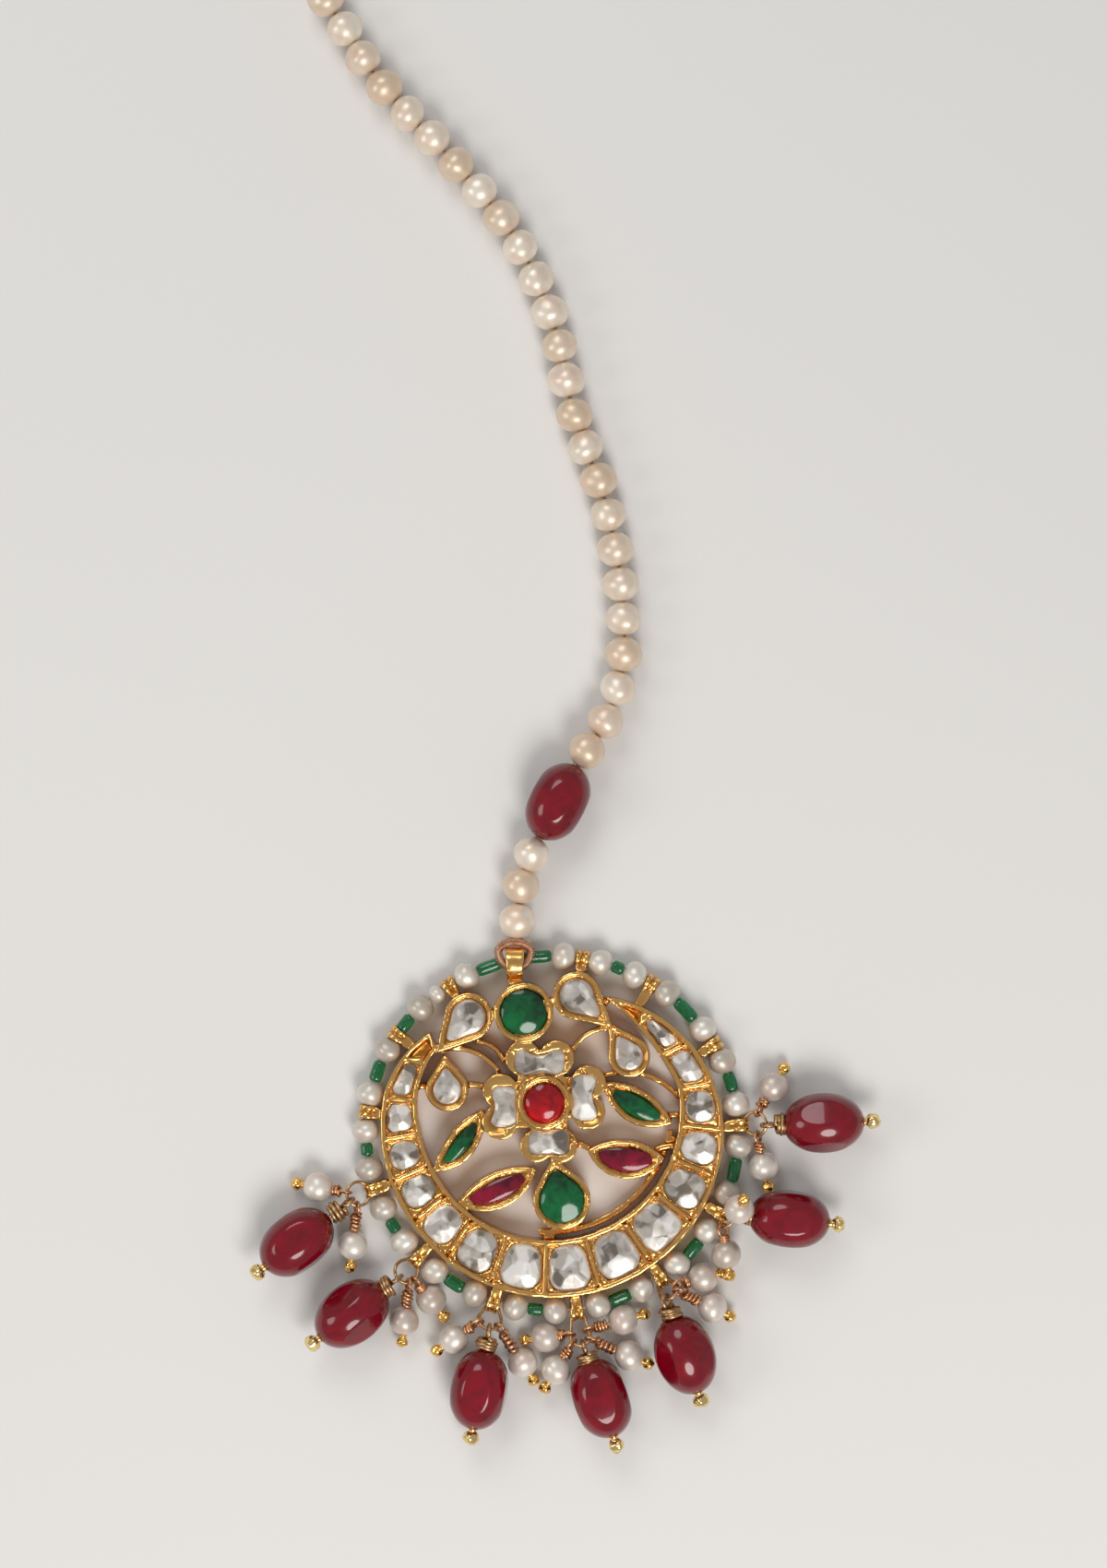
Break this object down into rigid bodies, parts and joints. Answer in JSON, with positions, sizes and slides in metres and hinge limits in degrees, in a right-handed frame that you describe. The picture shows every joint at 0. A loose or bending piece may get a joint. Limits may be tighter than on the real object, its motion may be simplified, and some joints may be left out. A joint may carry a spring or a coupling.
{
  "type": "maang tikka",
  "caption": "Head jewel: a pearl string with a hair hook, carrying a round crescent medallion of foiled stones with a beaded rim and a fringe of ruby and pearl drops.",
  "frame": {"origin": "centre of the flat back of the medallion, under the middle of the flower", "axes": "+Y along the jewel towards the hair hook, +Z out of the face, +X to the wearer's left as seen from the front"},
  "size_m": [0.0691, 0.1732, 0.0093],
  "materials": {
    "gold": "warm high-carat gold, hand burnished with small pits, darker in recesses",
    "polki": "uncut diamond slices over silver foil, irregular facets",
    "emerald": "deep green polished stone, smooth dome",
    "ruby": "raspberry red translucent stone, polished",
    "pearl": "cream freshwater pearl, satin lustre",
    "rim_pearl": "grey-white freshwater pearl, satin lustre",
    "green_bead": "translucent green tube bead",
    "pin_wire": "copper-gold wire, drawn, with small cast end nuggets",
    "bullion": "fine coiled copper-pink gimp wire",
    "thread": "twisted cream silk thread"
  },
  "bodies": {
    "root": {"bullion_wire": "bullion", "centre_ruby": "ruby", "crescent_polki_01": "polki", "crescent_polki_02": "polki", "crescent_polki_03": "polki", "crescent_polki_04": "polki", "crescent_polki_05": "polki", "crescent_polki_06": "polki", "crescent_polki_07": "polki", "crescent_polki_08": "polki", "crescent_polki_09": "polki", "crescent_polki_10": "polki", "crescent_polki_11": "polki", "crescent_polki_12": "polki", "crescent_polki_13": "polki", "crescent_polki_14": "polki", "crescent_polki_15": "polki", "drop_pearls": "rim_pearl", "emerald_drop": "emerald", "gold_frame": "gold", "hair_hook": "gold", "jump_links": "pin_wire", "leaf_emerald_left": "emerald", "leaf_emerald_right": "emerald", "leaf_ruby_left": "ruby", "leaf_ruby_right": "ruby", "pearl_pins": "pin_wire", "petal_polki_bottom": "polki", "petal_polki_left": "polki", "petal_polki_right": "polki", "petal_polki_top": "polki", "rim_green_beads": "green_bead", "rim_pearls": "rim_pearl", "rim_thread": "thread", "ruby_bead_1": "ruby", "ruby_bead_2": "ruby", "ruby_bead_3": "ruby", "ruby_bead_4": "ruby", "ruby_bead_5": "ruby", "ruby_bead_6": "ruby", "ruby_bead_7": "ruby", "ruby_pin_1": "pin_wire", "ruby_pin_2": "pin_wire", "ruby_pin_3": "pin_wire", "ruby_pin_4": "pin_wire", "ruby_pin_5": "pin_wire", "ruby_pin_6": "pin_wire", "ruby_pin_7": "pin_wire", "string_pearls": "pearl", "string_ruby": "ruby", "string_thread": "thread", "tear_polki_inner_left": "polki", "tear_polki_inner_right": "polki", "tear_polki_outer_left": "polki", "tear_polki_outer_right": "polki", "top_emerald": "emerald"}
  },
  "joints": []
}
